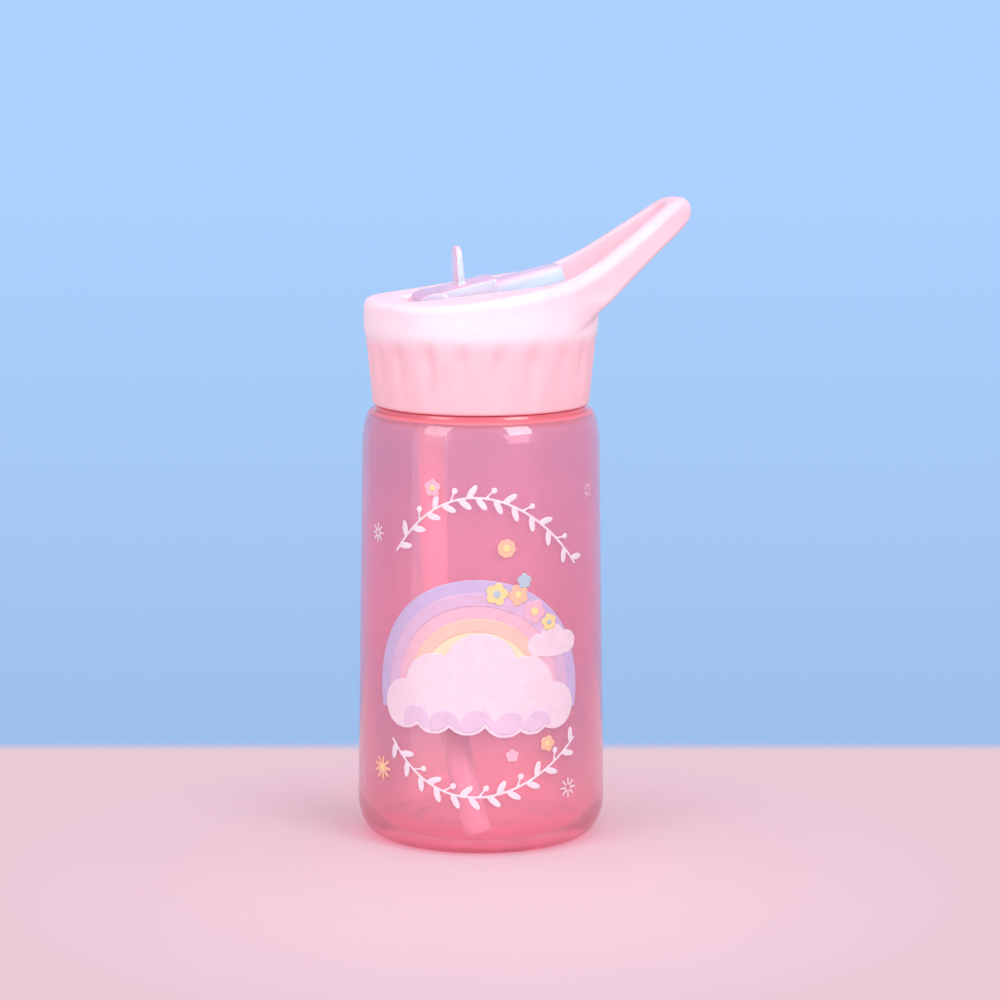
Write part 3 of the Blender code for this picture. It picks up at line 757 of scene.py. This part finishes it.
# The flat oval tube and the thumb tab, in the spout's own frame.
TUBE_HALF_WIDTH = 0.00675
TUBE_HALF_HEIGHT = 0.0038
TUBE_CORNER = 0.0026
TUBE_MIDDLE = 0.0012
TUBE_START = 0.014
TAB_LEAN = math.radians(9.5)
TAB_PLACE = 0.0098
TAB_HEIGHT = 0.0115
TAB_MIDDLE = 0.00475
TAB_REACH = 0.00675
TAB_CORNER = 0.0034
TAB_HALF_WIDTH = 0.0055
TAB_NARROWING = 0.0007
TAB_HALF_THICK = 0.00105
TAB_THINNING = 0.0002
BORE_MIDDLE = 0.0006
SOCKET_START = 0.0046

block_side = tabled(
    [(-0.0017, BLOCK_HIGH), (-0.0030, 0.0), (0.0020, -0.0058), (0.0060, -0.0046),
     (BLOCK_END, -0.0018), (BLOCK_END, BLOCK_HIGH)], (-0.012, -0.012), (0.046, 0.022), 0.0002)


def spout_field(s, y, n):
    """The spout in its own frame: along s from the pivot, n up from the tube."""
    drum = rounded_max(np.hypot(s, n) - DRUM_RADIUS, np.abs(y) - DRUM_HALF, 0.0008)
    block = rounded_max(block_side(s, n), np.abs(y) - DRUM_HALF + GAP, 0.0009)
    tube = rounded_box(y, n - TUBE_MIDDLE, TUBE_HALF_WIDTH, TUBE_HALF_HEIGHT, TUBE_CORNER)
    tube = rounded_max(tube, s - SPOUT_LENGTH, 0.0008)
    tube = np.maximum(tube, TUBE_START - s)
    ds = s - TAB_PLACE
    dn = n - BLOCK_HIGH + GAP
    across = ds * math.cos(TAB_LEAN) - dn * math.sin(TAB_LEAN)
    up = ds * math.sin(TAB_LEAN) + dn * math.cos(TAB_LEAN)
    risen = np.clip(up / TAB_HEIGHT, 0.0, 1.0)
    width = TAB_HALF_WIDTH - TAB_NARROWING * risen
    plate = rounded_box(y, up - TAB_MIDDLE, width, TAB_REACH, TAB_CORNER)
    thick = TAB_HALF_THICK - TAB_THINNING * risen
    tab = rounded_max(plate, np.abs(across) - thick, 0.0006)
    whole = rounded_min(rounded_min(drum, block, 0.0003), tube, 0.0006)
    whole = rounded_min(whole, tab, 0.0012)
    bore = np.hypot(y, n - BORE_MIDDLE) - SPOUT_BORE
    whole = rounded_max(whole, -bore, 0.0004)
    socket = np.maximum(np.hypot(s, n) - PIN_HOLE, SOCKET_START - np.abs(y))
    return rounded_max(whole, -socket, 0.0002)


SPOUT_CELL = 0.0004
points, faces = sculpt(spout_field, (-0.009, -0.0112, -0.009), (0.044, 0.0112, 0.020), SPOUT_CELL)
placed = Matrix.Translation(PIVOT) @ Matrix.Rotation(-REST_SLOPE, 4, "Y")
points = [placed @ Vector(p) for p in points]
piece("spout_skin", points, faces, spout_plastic, "spout", "flip_spout")


# ---------------------------------------------------------------- the straw

STRAW_ROWS = 90
STRAW_SIDES = 40
STRAW_EDGE = 0.00015


def straw_point(z):
    """The straw's middle at a height: straight below the lid, bowed towards its lower end."""
    bow = max(0.0, (STRAW_BEND - z) / (STRAW_BEND - STRAW_END.z))
    return Vector((PIVOT.x + (STRAW_END.x - PIVOT.x) * bow ** STRAW_BOW[0],
                   STRAW_END.y * bow ** STRAW_BOW[1], z))


def straw_mesh(rows, sides):
    """The straw's outer wall, its cut end, its inner wall and its top end, as one tube."""
    outer = STRAW_RADIUS
    inner = STRAW_RADIUS - STRAW_WALL
    outer_wall = [(k / rows, outer) for k in range(rows + 1)]
    inner_wall = [(k / rows, inner) for k in range(rows, -1, -1)]
    stations = ([(0.0, outer - STRAW_EDGE)] + outer_wall
                + [(1.0, outer - STRAW_EDGE), (1.0, inner + STRAW_EDGE)]
                + inner_wall + [(0.0, inner + STRAW_EDGE)])
    points = []
    for along, radius in stations:
        z = STRAW_TOP + (STRAW_END.z - STRAW_TOP) * along
        centre = straw_point(z)
        ahead = (straw_point(z - 0.0005) - straw_point(z + 0.0005)).normalized()
        across = ahead.cross(Vector((0.0, 1.0, 0.0))).normalized()
        other = ahead.cross(across)
        for k in range(sides):
            angle = 2 * math.pi * k / sides
            points.append(centre + radius * (math.cos(angle) * across + math.sin(angle) * other))
    count = len(stations)
    faces = []
    for row in range(count):
        after = (row + 1) % count
        for k in range(sides):
            n = (k + 1) % sides
            faces.append((row * sides + k, row * sides + n, after * sides + n, after * sides + k))
    return points, faces


points, faces = straw_mesh(STRAW_ROWS, STRAW_SIDES)
piece("straw_skin", points, faces, straw_plastic, "lid", "straw")

for node, material in (("lid_inner_plate", inner_plastic), ("pivot_pin_left", pin_plastic),
                       ("pivot_pin_right", pin_plastic), ("spout_seat_seal", silicone),
                       ("vent_valve", silicone), ("neck_gasket", silicone)):
    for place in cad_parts[node].material_slots:
        place.material = material


# ---------------------------------------------------------------- the print on the bottle

# The radius that the drawing is wrapped round, the part of the side that it can use, the ink's
# thickness, the gap under each film, and the grid that outlines are traced on.
PRINT_RADIUS = 0.036
PRINT_HALF_WIDTH = 0.056
PRINT_HEIGHTS = (0.012, 0.112)
INK = 0.00003
INK_GAP = 0.00001
INK_CELL = 0.0004


def printed(name, field, colour, layer=0):
    """A thin film of ink on the front of the bottle, where field(u, v) in mm is negative.

    u runs round the bottle from the middle of the print, v is the height.
    """
    us = np.arange(-PRINT_HALF_WIDTH, PRINT_HALF_WIDTH, INK_CELL)
    vs = np.arange(*PRINT_HEIGHTS, INK_CELL)
    grid_u, grid_v = np.meshgrid(us, vs, indexing="ij")
    values = field(grid_u / MM, grid_v / MM)
    points, known, faces = [], {}, []
    lift = INK_GAP + layer * (INK + INK_GAP)

    def place(key, u, v):
        if key not in known:
            known[key] = len(points)
            down = (v - BASE_CORNER_HEIGHT) / (SHOULDER_START - BASE_CORNER_HEIGHT)
            radius = BODY_RADIUS + (BODY_TOP_RADIUS - BODY_RADIUS) * down + lift
            angle = FRONT + u / PRINT_RADIUS
            points.append((radius * math.cos(angle), radius * math.sin(angle), v))
        return known[key]

    inside = values < 0
    touched = (inside[:-1, :-1] | inside[1:, :-1] | inside[:-1, 1:] | inside[1:, 1:])
    for i, j in zip(*np.nonzero(touched)):
        corners = [(i, j), (i + 1, j), (i + 1, j + 1), (i, j + 1)]
        face = []
        for a, b in zip(corners, corners[1:] + corners[:1]):
            if inside[a]:
                face.append(place(a, us[a[0]], vs[a[1]]))
            if inside[a] != inside[b]:
                t = values[a] / (values[a] - values[b])
                if a > b:
                    key = (b, a)
                else:
                    key = (a, b)
                face.append(place(key, us[a[0]] + t * (us[b[0]] - us[a[0]]),
                                  vs[a[1]] + t * (vs[b[1]] - vs[a[1]])))
        faces.append(face)
    film = piece(name, points, faces, ink(name + "_ink", colour), "bottle", closed=False)
    solid = film.modifiers.new("ink", "SOLIDIFY")
    solid.thickness = INK
    solid.offset = 1.0


def ink(name, colour):
    """Screen-printed ink: nearly opaque, with the faint unevenness of a printed film."""
    made, nodes, links, shader = new_material(name)
    darker, lighter = varied(colour, 0.05)
    links.new(ramp(nodes, links, noise(nodes, links, 350.0, 4.0), [(0.3, darker), (0.7, lighter)]),
              shader.inputs["Base Color"])
    links.new(ranged(nodes, links, noise(nodes, links, 500.0), 0.38, 0.52),
              shader.inputs["Roughness"])
    bumped(nodes, links, shader, noise(nodes, links, 1800.0, 2.0), 0.2, 0.00001)
    return made


def joined(*fields):
    """A drawing made of several shapes."""
    def whole(u, v):
        nearest = fields[0](u, v)
        for other in fields[1:]:
            nearest = np.minimum(nearest, other(u, v))
        return nearest
    return whole


def within(field, other, margin):
    """A drawing cut to what lies inside another, a margin away from its edge."""
    return lambda u, v: np.maximum(field(u, v), other(u, v) + margin)


def disc(cu, cv, radius):
    """A round spot."""
    return lambda u, v: np.hypot(u - cu, v - cv) - radius


def oval(cu, cv, length, width, degrees):
    """A leaf-like oval; length and width are its half sizes."""
    c, s = math.cos(math.radians(degrees)), math.sin(math.radians(degrees))

    def field(u, v):
        along = ((u - cu) * c + (v - cv) * s) / length
        across = (-(u - cu) * s + (v - cv) * c) / width
        return (np.hypot(along, across) - 1) * width
    return field


def stroke(path, half_width):
    """A line of a width along a path, with round ends."""
    def field(u, v):
        nearest = np.full(np.shape(u), 1e3)
        for (u0, v0), (u1, v1) in zip(path, path[1:]):
            du, dv = u1 - u0, v1 - v0
            along = np.clip(((u - u0) * du + (v - v0) * dv) / (du * du + dv * dv), 0.0, 1.0)
            nearest = np.minimum(nearest, np.hypot(u - u0 - along * du, v - v0 - along * dv))
        return nearest - half_width
    return field


def petals(cu, cv, radius, turn=90.0, count=5):
    """A small flower of round petals."""
    made = [disc(cu, cv, 0.4 * radius)]
    for k in range(count):
        angle = math.radians(turn + 360.0 * k / count)
        made.append(disc(cu + 0.56 * radius * math.cos(angle), cv + 0.56 * radius * math.sin(angle),
                         0.42 * radius))
    return joined(*made)


def burst(cu, cv, radius, count, half_width, inner=0.35, turn=0.0):
    """Short strokes that stand round a middle, like a daisy."""
    made = []
    for k in range(count):
        angle = math.radians(turn + 360.0 * k / count)
        c, s = math.cos(angle), math.sin(angle)
        made.append(stroke([(cu + inner * radius * c, cv + inner * radius * s),
                            (cu + radius * c, cv + radius * s)], half_width))
    return joined(*made)


STEM_PARTS = 24
STEM_HALF_WIDTH = 0.32
STALK_HALF_WIDTH = 0.25
LEAF_SPREAD = 48


def garland(start, middle, end, leaf, count):
    """A leafy stem on an arc through three points. Every fourth leaf is a berry on a stalk."""
    def at(t):
        a, b, c = (1 - t) ** 2, 2 * t * (1 - t), t * t
        mid_u = 2 * middle[0] - (start[0] + end[0]) / 2
        mid_v = 2 * middle[1] - (start[1] + end[1]) / 2
        return (a * start[0] + b * mid_u + c * end[0], a * start[1] + b * mid_v + c * end[1])
    path = [at(k / STEM_PARTS) for k in range(STEM_PARTS + 1)]
    made = [stroke(path, STEM_HALF_WIDTH)]
    for k in range(count):
        u, v = at((k + 0.5) / count)
        ahead = at((k + 0.6) / count)
        along = math.degrees(math.atan2(ahead[1] - v, ahead[0] - u))
        side = 1 if k % 2 else -1
        spread = along + side * LEAF_SPREAD
        c, s = math.cos(math.radians(spread)), math.sin(math.radians(spread))
        if k % 4 == 3:
            made.append(stroke([(u, v), (u + 1.2 * leaf * c, v + 1.2 * leaf * s)],
                               STALK_HALF_WIDTH))
            made.append(disc(u + 1.5 * leaf * c, v + 1.5 * leaf * s, 0.38 * leaf))
        else:
            made.append(oval(u + leaf * c, v + leaf * s, leaf, 0.40 * leaf, spread))
    return joined(*made)


def band(cu, cv, outer, inner, floor):
    """Half a ring, standing on a level."""
    def field(u, v):
        away = np.hypot(u - cu, v - cv)
        return np.maximum(np.maximum(away - outer, inner - away), floor - v)
    return field


CLOUD = [(-23.5, 44.0, 7.2), (-13.5, 50.0, 9.6), (0.0, 54.5, 11.2), (13.0, 49.5, 9.2),
         (22.5, 43.5, 6.8), (-14.0, 42.5, 6.5), (-4.0, 43.0, 7.0), (7.0, 42.0, 6.8),
         (15.0, 41.5, 5.8)]
CLOUD_SHADE = [(-19.5, 39.8, 4.2), (-10.5, 38.6, 4.6), (-1.0, 38.8, 4.8), (8.5, 38.2, 4.6),
               (17.0, 38.8, 4.0)]
cloud = joined(*[disc(*lobe) for lobe in CLOUD])
small_cloud = joined(disc(22.0, 63.0, 4.4), disc(27.2, 61.6, 3.4), disc(17.2, 61.4, 3.4),
                     oval(22.2, 60.2, 8.0, 2.4, 0.0))
printed("print_cloud", joined(cloud, small_cloud), (0.82, 0.60, 0.69), 2)
printed("print_cloud_shade", within(joined(*[disc(*lobe) for lobe in CLOUD_SHADE]), cloud, 0.9),
        (0.74, 0.50, 0.66), 3)

BOW_CENTRE = (-1.0, 49.0)
BOW_OUTER = 32.0
BOW_WIDTH = 3.7
RAINBOW = [("lilac", (0.56, 0.41, 0.64)), ("mauve", (0.68, 0.42, 0.60)),
           ("pink", (0.80, 0.43, 0.53)), ("peach", (0.88, 0.50, 0.42)),
           ("cream", (0.88, 0.66, 0.46))]
for order, (shade, colour) in enumerate(RAINBOW):
    outer = BOW_OUTER - BOW_WIDTH * order
    ring = band(*BOW_CENTRE, outer + 0.1, outer - BOW_WIDTH - 0.1, 42.0)
    printed("print_bow_" + shade, ring, colour, order % 2)

WHITE = (0.80, 0.66, 0.73)
printed("print_garlands", joined(
    garland((-27.0, 88.0), (0.0, 104.5), (31.0, 84.0), 2.3, 22),
    garland((-28.0, 33.0), (-2.0, 18.0), (30.0, 33.0), 2.3, 22)), WHITE)
printed("print_bursts", joined(
    burst(27.5, 18.5, 2.8, 8, 0.26), burst(38.5, 104.0, 2.0, 7, 0.22, 0.5),
    burst(-36.0, 92.0, 2.6, 8, 0.30)), WHITE)
printed("print_pink_flowers", joined(
    petals(-14.5, 107.0, 2.7), petals(16.0, 71.5, 3.6, 60.0), petals(9.0, 30.0, 2.0)),
    (0.84, 0.42, 0.52), 3)
printed("print_peach_flowers", joined(
    petals(7.5, 90.0, 2.8, 80.0, 8), petals(20.0, 32.6, 2.5, 70.0), petals(11.0, 76.5, 3.2, 40.0),
    burst(-32.5, 23.5, 3.2, 9, 0.45)), (0.88, 0.46, 0.32), 3)
printed("print_yellow_flowers", joined(
    petals(4.6, 77.0, 3.4, 75.0), petals(20.8, 68.0, 2.6, 100.0),
    disc(-14.5, 107.0, 0.9), disc(16.0, 71.5, 1.2), disc(7.5, 90.0, 1.1), disc(20.0, 32.6, 0.8),
    disc(-32.5, 23.5, 0.9), disc(11.0, 76.5, 1.0)), (0.88, 0.62, 0.30), 4)
printed("print_blue_flowers", joined(
    petals(12.8, 80.5, 2.3, 20.0), disc(4.6, 77.0, 1.1), disc(20.8, 68.0, 0.8)),
    (0.44, 0.50, 0.60), 5)


# ---------------------------------------------------------------- stage, light and camera

def slope_of_view(nodes, links, direction, height):
    """Height over reach. Reach is (x^4 + y^4)^(1/4), so the horizon is straight from four sides."""
    squared_up = nodes.new("ShaderNodeVectorRotate")
    squared_up.rotation_type = "Z_AXIS"
    squared_up.inputs["Angle"].default_value = -CAMERA_TURN
    links.new(direction, squared_up.inputs["Vector"])
    squares = nodes.new("ShaderNodeVectorMath")
    squares.operation = "MULTIPLY"
    links.new(squared_up.outputs["Vector"], squares.inputs[0])
    links.new(squared_up.outputs["Vector"], squares.inputs[1])
    level_part = nodes.new("ShaderNodeVectorMath")
    level_part.operation = "MULTIPLY"
    level_part.inputs[1].default_value = (1.0, 1.0, 0.0)
    links.new(squares.outputs["Vector"], level_part.inputs[0])
    length = nodes.new("ShaderNodeVectorMath")
    length.operation = "LENGTH"
    links.new(level_part.outputs["Vector"], length.inputs[0])
    reach = nodes.new("ShaderNodeMath")
    reach.operation = "SQRT"
    links.new(length.outputs["Value"], reach.inputs[0])
    slope = nodes.new("ShaderNodeMath")
    slope.operation = "DIVIDE"
    links.new(height, slope.inputs[0])
    links.new(reach.outputs["Value"], slope.inputs[1])
    return slope.outputs["Value"]


def world_backdrop():
    """Pale blue above a low horizon, with painted shade just above it, and pale pink below it; soft
    white light for surfaces.
    """
    world = bpy.data.worlds.new("studio")
    bpy.context.scene.world = world
    world.use_nodes = True
    nodes, links = world.node_tree.nodes, world.node_tree.links
    place = nodes.new("ShaderNodeTexCoord")
    split = nodes.new("ShaderNodeSeparateXYZ")
    links.new(place.outputs["Generated"], split.inputs["Vector"])
    low = HORIZON - BACKDROP_BELOW
    high = HORIZON + BACKDROP_ABOVE
    slope = slope_of_view(nodes, links, place.outputs["Generated"], split.outputs["Z"])
    level = ranged(nodes, links, slope, 0.0, 1.0, low, high)
    edge = (HORIZON - low) / (high - low)
    backdrop = ramp(nodes, links, level,
                    [(edge - HORIZON_BLUR, FLOOR_COLOUR), (edge + HORIZON_BLUR, WALL_FOOT_SHADE),
                     (0.8, WALL_COLOUR)])
    dome = ramp(nodes, links, ranged(nodes, links, split.outputs["Z"], 0.0, 1.0, -1.0, 1.0),
                [(0.30, (0.50, 0.34, 0.38)), (0.55, (0.50, 0.52, 0.58)), (1.0, (0.60, 0.60, 0.60))])
    path = nodes.new("ShaderNodeLightPath")
    chosen = nodes.new("ShaderNodeMix")
    chosen.data_type = "RGBA"
    links.new(path.outputs["Is Diffuse Ray"], chosen.inputs["Factor"])
    links.new(backdrop, chosen.inputs["A"])
    links.new(dome, chosen.inputs["B"])
    background = nodes["Background"]
    links.new(chosen.outputs["Result"], background.inputs["Color"])
    background.inputs["Strength"].default_value = 1.0


def stage_floor():
    """A pale floor round the bottle that fades out into the backdrop."""
    made, nodes, links, shader = new_material("floor_paper")
    darker, lighter = varied(FLOOR_ALBEDO, 0.01)
    links.new(ramp(nodes, links, noise(nodes, links, 30.0), [(0.3, darker), (0.7, lighter)]),
              shader.inputs["Base Color"])
    shader.inputs["Roughness"].default_value = 0.85
    shader.inputs["Specular IOR Level"].default_value = 0.1
    place = nodes.new("ShaderNodeTexCoord")
    length = nodes.new("ShaderNodeVectorMath")
    length.operation = "LENGTH"
    links.new(place.outputs["Object"], length.inputs[0])
    fade = ranged(nodes, links, length.outputs["Value"], 0.0, 1.0, FLOOR_REACH * FLOOR_SOLID,
                  FLOOR_REACH)
    clear = nodes.new("ShaderNodeBsdfTransparent")
    mixed = nodes.new("ShaderNodeMixShader")
    links.new(fade, mixed.inputs["Fac"])
    links.new(shader.outputs["BSDF"], mixed.inputs[1])
    links.new(clear.outputs["BSDF"], mixed.inputs[2])
    links.new(mixed.outputs["Shader"], nodes["Material Output"].inputs["Surface"])
    rings = [(FLOOR_REACH * k / FLOOR_RINGS, 0.0) for k in range(FLOOR_RINGS + 1)]
    points, faces = turned(rings, FLOOR_SIDES)
    mesh = bpy.data.meshes.new("stage_floor")
    mesh.from_pydata(points, [], faces)
    mesh.materials.append(made)
    floor = bpy.data.objects.new("stage_floor", mesh)
    bpy.context.scene.collection.objects.link(floor)
    floor.location = FLOOR_CENTRE


# The backdrop, by the slope at which it is looked at: pink below the horizon, blue above it.
HORIZON = -0.2415
BACKDROP_BELOW = 0.05
BACKDROP_ABOVE = 0.25
HORIZON_BLUR = 0.004
WALL_COLOUR = (0.42, 0.645, 1.0)
# The blue is deeper just above the horizon: painted shade at the foot of the backdrop.
WALL_FOOT_SHADE = (0.34, 0.52, 0.84)
FLOOR_COLOUR = (0.83, 0.585, 0.67)
FLOOR_ALBEDO = (0.70, 0.48, 0.54)

# The floor: its radius, the share of it that stays opaque, and its middle.
FLOOR_REACH = 0.14
FLOOR_SOLID = 0.35
FLOOR_RINGS = 12
FLOOR_SIDES = 64
FLOOR_CENTRE = (-0.0078, -0.0494, -0.00005)

# What the lights are aimed at, and how far away they stand.
MIDDLE = Vector((0.0, 0.0, 0.095))
LIGHT_DISTANCE = 0.9

CAMERA = Vector((-0.1405, -0.8869, 0.2410))
CAMERA_TURN = math.radians(-9.0)
CAMERA_TILT = math.radians(90 - 9.02)

world_backdrop()
stage_floor()

camera_data = bpy.data.cameras.new("camera")
camera_data.sensor_width = 36.0
camera_data.lens = 111.5
camera_data.shift_x = 0.0192
camera_data.clip_start = 0.01
camera = bpy.data.objects.new("camera", camera_data)
camera.location = CAMERA
camera.rotation_euler = (CAMERA_TILT, 0.0, CAMERA_TURN)
bpy.context.scene.collection.objects.link(camera)
bpy.context.scene.camera = camera


def softbox(name, azimuth, elevation, width, height, power):
    """A white rectangular light aimed at the middle of the bottle.

    Azimuth in degrees is from the camera's side, elevation is above level, power is in watts.
    """
    turn = math.radians(azimuth) + math.atan2(CAMERA.y, CAMERA.x)
    up = math.radians(elevation)
    direction = Vector((math.cos(turn) * math.cos(up), math.sin(turn) * math.cos(up), math.sin(up)))
    data = bpy.data.lights.new(name, "AREA")
    data.shape = "RECTANGLE"
    data.size = width
    data.size_y = height
    data.energy = power
    made = bpy.data.objects.new(name, data)
    made.location = MIDDLE + direction * LIGHT_DISTANCE
    made.rotation_euler = direction.to_track_quat("Z", "Y").to_euler()
    bpy.context.scene.collection.objects.link(made)


softbox("key_light", 40.0, 32.0, 0.36, 0.40, 5.4)
softbox("fill_light", -46.0, 30.0, 0.36, 0.40, 2.6)
softbox("side_light", -50.0, 4.0, 0.60, 1.00, 2.0)
softbox("top_light", 10.0, 78.0, 0.60, 0.60, 1.6)

bpy.context.scene.view_settings.view_transform = "Standard"
